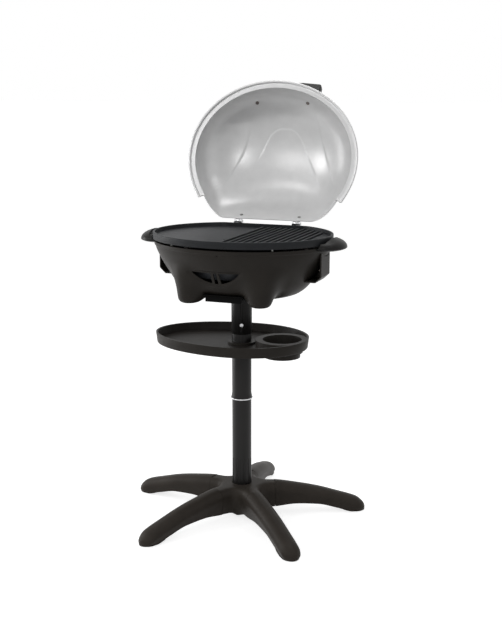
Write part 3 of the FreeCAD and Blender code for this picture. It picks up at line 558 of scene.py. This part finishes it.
def prism(name, outline, start, travel):
    """Straight prism from a flat outline of (x, z) points, along Y."""
    count = len(outline)
    near = [(x, start, z) for x, z in outline]
    far = [(x, start + travel, z) for x, z in outline]
    faces = [tuple(range(count)), tuple(range(2 * count - 1, count - 1, -1))]
    for index in range(count):
        onward = (index + 1) % count
        faces.append((onward, index, count + index, count + onward))
    return mesh_object(name, near + far, faces)


def arc_through(left, middle_z, count):
    """Points of a circular arc from left to its mirror image, by its middle height."""
    half = abs(left[0])
    sag = left[1] - middle_z
    radius = (half ** 2 + sag ** 2) / (2 * sag)
    sweep = math.asin(half / radius)
    turns = np.linspace(-sweep, sweep, count)
    return [(radius * math.sin(turn), middle_z + radius * (1 - math.cos(turn))) for turn in turns]


def vent_openings():
    """Three pieces of a crescent, between two upright bars."""
    lower = arc_through((-vent_half_width, vent_tip), vent_low, vent_points)
    upper = arc_through((-vent_half_width, vent_tip), vent_tip - vent_sag, vent_points)
    inner = vent_bar_place - vent_bar / 2
    outer = vent_bar_place + vent_bar / 2
    tools = []
    for low, high in ((-1, -outer), (-inner, inner), (outer, 1)):
        under = [point for point in lower if low <= point[0] <= high]
        over = [point for point in upper if low <= point[0] <= high]
        outline = under + over[::-1]
        outline = [(axis.x + vent_shift + x, z) for x, z in outline]
        tools.append(prism("vent", outline, bowl_low.y - cut_overrun, vent_cut))
    return tools


def build_bowl():
    points = bowl_skin()
    faces = ring_faces(len(points), bowl_columns)
    bowl = mesh_object("bowl_shell", points.reshape(-1, 3), faces)
    wall = bowl.modifiers.new("wall", "SOLIDIFY")
    wall.thickness = bowl_wall
    wall.offset = -1
    wall.use_rim = True
    apply_modifiers(bowl)
    for tool in vent_openings():
        cut_away(bowl, tool)
    slot_low = foot_bottom - cut_overrun
    slot = [(axis.x - slot_half_width, slot_low), (axis.x + slot_half_width, slot_low),
            (axis.x + slot_half_width, slot_top), (axis.x - slot_half_width, slot_top)]
    cut_away(bowl, prism("slot", slot, bowl_low.y, axis.y + slot_back - bowl_low.y))
    turns = np.linspace(0, 2 * math.pi, mark_points, endpoint=False)
    mark = [(axis.x + mark_shift + mark_radius * math.cos(turn), mark_height + mark_radius * math.sin(turn))
            for turn in turns]
    cut_away(bowl, prism("mark", mark, bowl_low.y - cut_overrun, mark_cut))
    smooth_shade(bowl, 40)
    dress(bowl, "grill", "dark_plastic", "bowl")
    ledge_top = bowl_rim - bowl_ledge_rim_gap
    ledge_low = bowl_ledge_height - bowl_ledge_thickness
    ledge = [
        (bowl_ledge_outer, ledge_top), (bowl_ledge_wall, ledge_top),
        (bowl_ledge_wall, bowl_ledge_height), (bowl_ledge_inner, bowl_ledge_height),
        (bowl_ledge_inner, ledge_low), (bowl_ledge_under, ledge_low),
    ]
    rim = oval_ring("bowl_ledge", ledge, bowl_centre, bowl_half_width, bowl_half_depth)
    outer = socket_radius + socket_wall
    middle = outer - socket_eye
    cup = [(0, bowl_floor), (0, socket_top + socket_wall), (middle, socket_top + socket_wall),
           (middle, socket_top), (socket_wall, socket_top), (socket_wall, bowl_floor)]
    socket = oval_ring("bowl_socket", cup, axis, outer, outer, 96)
    for piece in (rim, socket):
        smooth_shade(piece, 40)
        dress(piece, "grill", "dark_plastic")


# Lid

def lid_edge(chord):
    """Directions to the lid's outline, fuller at the rear, and how far a rear chord lets them go."""
    angle = np.linspace(0, 2 * math.pi, lid_columns, endpoint=False)
    cosine = np.cos(angle)
    sine = np.sin(angle)
    power = 2 + lid_rear_fullness * soft_step(sine, lid_full_from, lid_full_to)
    fuller = (np.abs(cosine) ** power + np.abs(sine) ** power) ** (-1 / power)
    way = np.stack([fuller * cosine, fuller * sine])
    behind = np.maximum(way[1], lid_chord_from)
    limit = np.where(way[1] > lid_chord_from, chord / behind, lid_chord_free)
    return way, np.minimum(soft_min(np.ones(lid_columns), limit, lid_corner), 1.0)


def lid_relief(x, y):
    """Shallow pressed panels: an arch in the middle and a wing at each side."""
    reach = np.abs(x)
    curve = arch_drop * (np.minimum(reach, arch_half) / arch_half) ** arch_power
    curve += arch_slope * np.maximum(reach - arch_half, 0)
    inside = soft_step(y - arch_apex - curve, -crease_width, crease_width)
    end = np.where(x < 0, reach + arch_left_trim, reach)
    inside *= 1 - soft_step(end, arch_fade_from, arch_fade_to)
    relief = -arch_depth * inside
    for side, stations in ((-1, wing_left), (1, wing_right)):
        places, edges = np.array(stations).T
        line = np.polyval(np.polyfit(places, edges, 2), y)
        wing = soft_step(side * x - line, -crease_width, crease_width)
        wing *= soft_step(y, places[0] - wing_fade_front, places[0])
        wing *= 1 - soft_step(y, places[-1], places[-1] + wing_fade_rear)
        relief = relief + wing_depth * wing
    return relief


def lid_points():
    """Rows of the lid's outside: dome and rear wall first, then the ledge and skirt."""
    half_width = lid_half_width - lid_ledge
    half_depth = lid_half_depth - lid_ledge
    ledge = lid_lip + lid_skirt
    rear = lid_rear - lid_centre.y
    way, share = lid_edge((rear - lid_rear_drop * math.tan(lid_rear_lean)) / half_depth)
    way, lip_share = lid_edge(rear / half_depth)
    rows = np.linspace(0.0, 1, lid_rows)[1:, None]
    out = np.sin(rows * np.arcsin(np.clip(share, 0, 1))[None, :])
    x = half_width * out * way[0]
    y = half_depth * out * way[1]
    dome = ledge + lid_rise * np.clip(1 - out ** lid_dome_power, 0, 1) ** (1 / lid_dome_power)
    wall = lid_lip + (rear - y) / math.tan(lid_rear_lean)
    dome_share = (dome - lid_lip) ** -lid_rear_power
    wall_share = np.maximum(wall - lid_lip, millimetre) ** -lid_rear_power
    z = lid_lip + (dome_share + wall_share) ** (-1 / lid_rear_power)
    fade = 1 - soft_step(out, relief_fade_from, relief_fade_to)
    z = z + lid_relief(x, y + lid_centre.y - axis.y) * fade
    end_x, end_y, end_z = x[-1], y[-1], z[-1]
    lip_x = half_width * lip_share * way[0]
    lip_y = half_depth * lip_share * way[1]
    flange_y = lid_flange_end * lid_half_depth
    flange = 1 - soft_step(end_y, flange_y - lid_flange_before, flange_y + lid_flange_after)
    across = lid_half_width - half_width
    points_x, points_y, points_z = [x], [y], [z]
    for index, (outward, down) in enumerate(lid_rim_shares):
        part = (index + 1) / len(lid_rim_shares)
        rear_x = end_x + (lip_x - end_x) * part
        rear_y = end_y + (lip_y - end_y) * part
        rear_z = end_z + (lid_lip - end_z) * part
        grow = 1 + outward * across / half_width
        deep = 1 + outward * across / half_depth
        front_x = half_width * way[0] * grow
        front_y = half_depth * way[1] * deep
        front_z = ledge - (lid_skirt - lid_sheet) * down
        points_x.append((rear_x + (front_x - rear_x) * flange)[None, :])
        points_y.append((rear_y + (front_y - rear_y) * flange)[None, :])
        points_z.append((rear_z + (front_z - rear_z) * flange)[None, :])
    x = np.concatenate(points_x) + lid_centre.x
    y = np.concatenate(points_y) + lid_centre.y
    z = np.concatenate(points_z)
    return np.stack([x, y, z], axis=2)


def swing(points):
    """Turns points of the closed lid to where it stands open."""
    cosine = math.cos(lid_swing)
    sine = math.sin(lid_swing)
    turned = np.array(points, float)
    along = turned[..., 1] - hinge.y
    up = turned[..., 2] - hinge.z
    turned[..., 1] = hinge.y + cosine * along - sine * up
    turned[..., 2] = hinge.z + sine * along + cosine * up
    return turned


def build_lid():
    closed = lid_points()
    rows = len(closed)
    crown = closed[:1].mean(axis=1)
    points = swing(np.concatenate([closed.reshape(-1, 3), crown]))
    faces = [face[::-1] for face in ring_faces(rows, lid_columns)]
    last = len(points) - 1
    faces += [(last, (column + 1) % lid_columns, column)[::-1] for column in range(lid_columns)]
    lid = mesh_object("lid_dome", points, faces)
    wall = lid.modifiers.new("sheet", "SOLIDIFY")
    wall.thickness = lid_sheet
    wall.offset = -1
    wall.use_even_offset = True
    apply_modifiers(lid)
    smooth_shade(lid, 50)
    dress(lid, "lid", "lid_paint", "lid_shell")


# Legs and hub

def leg_profile(place):
    """Upper edge, lower edge and width of an arm at places along it."""
    along, top, low, width = np.array(leg_station_shares).T
    share = np.clip(place / leg_reach, along[0], 1)
    upper = hub_height * smooth_curve(along, top, share)
    lower = hub_height * smooth_curve(along, low, share)
    return upper, np.maximum(lower, leg_floor_gap), leg_width * smooth_curve(along, width, share)


def arm_outline(upper, lower, width, count):
    """Section of an arm from one foot, over a rounded back, to the other foot."""
    half = width / 2
    corner = min(leg_corner_share * width, leg_corner_limit * (upper - lower))
    turn = np.linspace(0, math.pi / 2, count)
    rise = np.linspace(0, 1, count // 3, endpoint=False)
    foot = half * leg_foot_share
    side = np.stack([foot + (half - foot) * rise, lower + (upper - corner - lower) * rise], axis=1)
    inner = half - min(corner, half)
    arc = np.stack([inner + (half - inner) * np.cos(turn), upper - corner + corner * np.sin(turn)], axis=1)
    right = np.concatenate([side, arc])
    left = right[::-1] * (-1, 1)
    return np.concatenate([right, left])


def arm_points(places, loops, turn):
    """Sections of an arm set up along it and turned round the column."""
    points = []
    for place, loop in zip(places, loops):
        for across, height in loop:
            points.append((axis.x + place * math.cos(turn) - across * math.sin(turn),
                           axis.y + place * math.sin(turn) + across * math.cos(turn), height))
    return points


def leg_mesh(name, places, turn, count=leg_section):
    """Hollow arched leg with a rounded toe."""
    upper, lower, width = leg_profile(places)
    beyond = np.clip((places - leg_reach + toe_radius) / toe_radius, 0, 1)
    narrow = np.sqrt(np.clip(1 - beyond ** 2, toe_least_share, 1))
    upper = lower + (upper - lower) * (toe_height_share + (1 - toe_height_share) * narrow)
    cavity = 1 - soft_step(places, leg_cavity_reach - leg_cavity_fade, leg_cavity_reach)
    loops = []
    for index in range(len(places)):
        wide = width[index] * narrow[index]
        outer = arm_outline(upper[index], lower[index], wide, count)
        room = max(upper[index] - lower[index] - leg_wall, cavity_least_height)
        top = lower[index] + room * max(cavity[index], cavity_least_share)
        inner = arm_outline(top, lower[index], max(wide - 2 * leg_wall, cavity_least_width), count)
        loops.append(np.concatenate([outer, inner[::-1]]))
    columns = len(loops[0])
    faces = ring_faces(len(places), columns)
    end = (len(places) - 1) * columns
    for index in range(columns // 2 - 1):
        twin = columns - 1 - index
        faces.append((index, twin, twin - 1, index + 1))
        faces.append((end + index + 1, end + twin - 1, end + twin, end + index))
    return mesh_object(name, arm_points(places, loops, turn), faces)


def arm_solid(start, end, inset, low_inset, turn):
    """Points and faces of a closed stretch of an arm, drawn in by an inset."""
    places = np.linspace(start, end, arm_rows)
    upper, lower, width = leg_profile(places)
    loops = []
    for index in range(len(places)):
        wide = width[index] - 2 * inset
        loops.append(arm_outline(upper[index] - inset, lower[index] + low_inset, wide, arm_section))
    columns = len(loops[0])
    faces = ring_faces(len(places), columns)
    faces.append(tuple(range(columns - 1, -1, -1)))
    faces.append(tuple(range((len(places) - 1) * columns, len(places) * columns)))
    return arm_points(places, loops, turn), faces


def joined(name, solids):
    """One mesh out of several closed solids."""
    points, faces = [], []
    for solid_points, solid_faces in solids:
        first = len(points)
        points += list(solid_points)
        faces += [tuple(first + index for index in face) for face in solid_faces]
    return mesh_object(name, points, faces)


def turned_solid(profile, columns=96):
    """Points and faces of a solid of revolution round the column, from (radius, height) points."""
    angle = np.linspace(0, 2 * math.pi, columns, endpoint=False)
    points = []
    for radius, height in profile:
        points += [(axis.x + radius * math.cos(turn), axis.y + radius * math.sin(turn), height)
                   for turn in angle]
    faces = ring_faces(len(profile), columns)
    faces.append(tuple(range(columns - 1, -1, -1)))
    faces.append(tuple(range((len(profile) - 1) * columns, len(profile) * columns)))
    return points, faces


def rounded(across, height, half, top, corner):
    """Signed distance to a block with a rounded upper edge."""
    side = across - half + corner
    above = height - top + corner
    outside = np.hypot(np.maximum(side, 0), np.maximum(above, 0))
    return outside - corner + np.minimum(np.maximum(side, above), 0)


def hub_distance(points, turns):
    """Signed distance to the hub: a round middle with the roots of the arms blended in."""
    x = points[..., 0] - axis.x
    y = points[..., 1] - axis.y
    z = points[..., 2]
    middle = rounded(np.hypot(x, y), z, hub_radius, hub_height, hub_round)
    star = soft_max(middle, hub_bottom - z, hub_under_round)
    for turn in turns:
        along = x * math.cos(turn) + y * math.sin(turn)
        across = np.abs(y * math.cos(turn) - x * math.sin(turn))
        upper, lower, width = leg_profile(along)
        corner = leg_corner_share * width
        rise = np.clip((z - lower) / (upper - corner - lower), 0, 1)
        half = width / 2 * (leg_foot_share + (1 - leg_foot_share) * rise)
        arm = np.maximum(rounded(across, z, half, upper, corner), lower - z)
        arm = np.maximum(np.maximum(arm, -along), along - leg_seam - hub_overlap)
        star = soft_min(star, arm, hub_blend)
    return soft_max(star, z - hub_height + hub_crown, hub_crown)


def hub_skin(turns):
    """Skin of the hub as points in rows, found along rays from its middle."""
    angle = np.linspace(0, 2 * math.pi, hub_columns, endpoint=False)
    rise = np.linspace(-hub_ray_share * math.pi, hub_ray_share * math.pi, hub_rows)[:, None]
    way = np.stack(np.broadcast_arrays(np.cos(rise) * np.cos(angle), np.cos(rise) * np.sin(angle),
                                       np.sin(rise)), axis=2)
    middle = np.array((axis.x, axis.y, hub_centre_height))
    reach = np.full(way.shape[:2], hub_march_start)
    for _ in range(hub_march_steps):
        reach -= hub_march_share * hub_distance(middle + way * reach[..., None], turns)
    return middle + way * reach[..., None]


def arm_end(turn):
    """Points and faces of a block that trims an arm of the hub at its seam."""
    near = leg_seam - seam_gap
    far = leg_seam + trim_length
    side = trim_half_width
    points = [(axis.x + along * math.cos(turn) - across * math.sin(turn),
               axis.y + along * math.sin(turn) + across * math.cos(turn), height)
              for height in (trim_low, trim_high)
              for along, across in ((near, -side), (far, -side), (far, side), (near, side))]
    faces = [(3, 2, 1, 0), (4, 5, 6, 7), (0, 1, 5, 4), (1, 2, 6, 5), (2, 3, 7, 6), (3, 0, 4, 7)]
    return points, faces


def build_hub():
    turns = [leg_turn + index * 2 * math.pi / leg_count for index in range(leg_count)]
    points = hub_skin(turns)
    faces = ring_faces(hub_rows, hub_columns)
    faces.append(tuple(range(hub_columns - 1, -1, -1)))
    faces.append(tuple(range((hub_rows - 1) * hub_columns, hub_rows * hub_columns)))
    hub = mesh_object("hub_star", points.reshape(-1, 3), faces)
    ends = [arm_end(turn) for turn in turns]
    cut_away(hub, joined("arm_ends", ends))
    bore = tube_radius + hub_gap
    tube_hole = [(bore, hub_socket_floor), (bore, hub_height + hub_hole_overrun)]
    cut_away(hub, joined("tube_hole", [turned_solid(tube_hole)]))
    hollows = [arm_solid(hub_radius + leg_wall, leg_seam - leg_wall, leg_wall, -hub_hollow_overrun, turn)
               for turn in turns]
    cut_away(hub, joined("arm_hollows", hollows))
    smooth_shade(hub, 50)
    dress(hub, "stand", "stand_plastic", "base_hub")
    tenon_start = leg_seam - tenon_overlap
    tenon_end = leg_seam + tenon_length
    tenons = [arm_solid(tenon_start, tenon_end, leg_wall + tenon_play, leg_wall, turn) for turn in turns]
    tenon = joined("hub_tenons", tenons)
    smooth_shade(tenon, 40)
    dress(tenon, "stand", "stand_plastic")


def build_legs():
    shank = np.linspace(leg_seam + leg_gap, leg_reach - toe_radius, leg_rows)
    toe = leg_reach - toe_radius + toe_radius * np.sin(np.linspace(0, math.pi / 2, toe_rows))[1:]
    places = np.concatenate([shank, toe])
    for index in range(leg_count):
        leg = leg_mesh("leg_cover_%d" % (index + 1), places, leg_turn + index * 2 * math.pi / leg_count)
        smooth_shade(leg, 50)
        dress(leg, "stand", "stand_plastic", "leg_%d" % (index + 1))


# Stage

def build_stage():
    world = bpy.data.worlds.new("studio")
    bpy.context.scene.world = world
    world.use_nodes = True
    tree = world.node_tree
    back = tree.nodes["Background"]
    seen = seen_directly(tree)
    strength = tree.nodes.new("ShaderNodeMapRange")
    strength.inputs["To Min"].default_value = world_light
    strength.inputs["To Max"].default_value = 1.0
    tree.links.new(seen, strength.inputs["Value"])
    tree.links.new(strength.outputs["Result"], back.inputs["Strength"])
    back.inputs["Color"].default_value = (1, 1, 1, 1)

    half = floor_half
    floor = mesh_object("floor", [(-half, -half, 0), (half, -half, 0), (half, half, 0), (-half, half, 0)],
                        [(0, 1, 2, 3)])
    paint = bpy.data.materials.new("pale_floor")
    paint.use_nodes = True
    tree = paint.node_tree
    shader = tree.nodes["Principled BSDF"]
    shader.inputs["Base Color"].default_value = (floor_tone, floor_tone, floor_tone, 1)
    shader.inputs["Roughness"].default_value = 0.9
    shader.inputs["Emission Color"].default_value = (1, 1, 1, 1)
    glow = tree.nodes.new("ShaderNodeMath")
    glow.operation = "MULTIPLY"
    glow.inputs[1].default_value = floor_glow
    tree.links.new(seen_directly(tree), glow.inputs[0])
    tree.links.new(glow.outputs["Value"], shader.inputs["Emission Strength"])
    floor.data.materials.append(paint)


def seen_directly(tree):
    """One for camera, glossy and transmission rays, and zero for the rest."""
    path = tree.nodes.new("ShaderNodeLightPath")
    first = tree.nodes.new("ShaderNodeMath")
    first.operation = "MAXIMUM"
    second = tree.nodes.new("ShaderNodeMath")
    second.operation = "MAXIMUM"
    tree.links.new(path.outputs["Is Camera Ray"], first.inputs[0])
    tree.links.new(path.outputs["Is Glossy Ray"], first.inputs[1])
    tree.links.new(first.outputs["Value"], second.inputs[0])
    tree.links.new(path.outputs["Is Transmission Ray"], second.inputs[1])
    return second.outputs["Value"]


def softbox(name, place, target, size, power):
    lamp = bpy.data.lights.new(name, "AREA")
    lamp.shape = "RECTANGLE"
    lamp.size, lamp.size_y = size
    lamp.energy = power
    holder = bpy.data.objects.new(name, lamp)
    holder.location = place
    holder.rotation_euler = (Vector(target) - Vector(place)).to_track_quat("-Z", "Y").to_euler()
    bpy.context.scene.collection.objects.link(holder)


def toward(target, azimuth, elevation, distance):
    """Place seen from the target at an azimuth from the front, to the right, and an elevation."""
    turn = math.radians(azimuth)
    rise = math.radians(elevation)
    way = Vector((math.sin(turn) * math.cos(rise), -math.cos(turn) * math.cos(rise), math.sin(rise)))
    return Vector(target) + way * distance


def build_lights():
    middle = (axis.x, axis.y, lamp_height)
    softbox("top", (0.1, 0.35, 2.9), middle, (1.6, 1.2), 26)
    softbox("fill", (2.2, -1.2, 1.3), middle, (0.8, 1.4), 1.5)
    softbox("far_left", (-2.4, -0.1, 0.8), middle, (0.8, 1.4), 20)
    inside = (axis.x, axis.y + lid_lamp_setback, lid_lamp_height)
    # Name, azimuth, elevation, size and power of the lamps that the lid's inside mirrors
    boxes = (
        ("near_front", 7.3, 14.4, (0.35, 0.35), 5),
        ("left_front", -24.2, 16.5, (0.40, 0.40), 3.6),
        ("left_side", -44.2, 15.3, (0.32, 0.60), 9),
        ("left_high", -36.4, 42.3, (0.70, 0.30), 4),
        ("right_high", 58.5, 43.0, (0.30, 0.30), 2.2),
    )
    for name, azimuth, elevation, size, power in boxes:
        softbox(name, toward(inside, azimuth, elevation, lid_lamp_distance), inside, size, power)


def build_camera():
    right = Vector((math.cos(camera_azimuth), math.sin(camera_azimuth), 0))
    away = Vector((-math.sin(camera_azimuth), math.cos(camera_azimuth), 0))
    level = away * math.cos(camera_yaw) + right * math.sin(camera_yaw)
    look = level * math.cos(camera_pitch) - Vector((0, 0, math.sin(camera_pitch)))
    lens = bpy.data.cameras.new("view")
    lens.sensor_fit = "VERTICAL"
    lens.sensor_height = camera_sensor
    lens.lens = camera_lens
    camera = bpy.data.objects.new("view", lens)
    camera.location = axis - away * camera_distance + Vector((0, 0, camera_height))
    camera.rotation_euler = look.to_track_quat("-Z", "Y").to_euler()
    bpy.context.scene.collection.objects.link(camera)
    bpy.context.scene.camera = camera


keep_nodes()
build_bowl()
build_lid()
build_legs()
build_hub()
build_stage()
build_lights()
build_camera()
bpy.context.scene.view_settings.view_transform = "Standard"
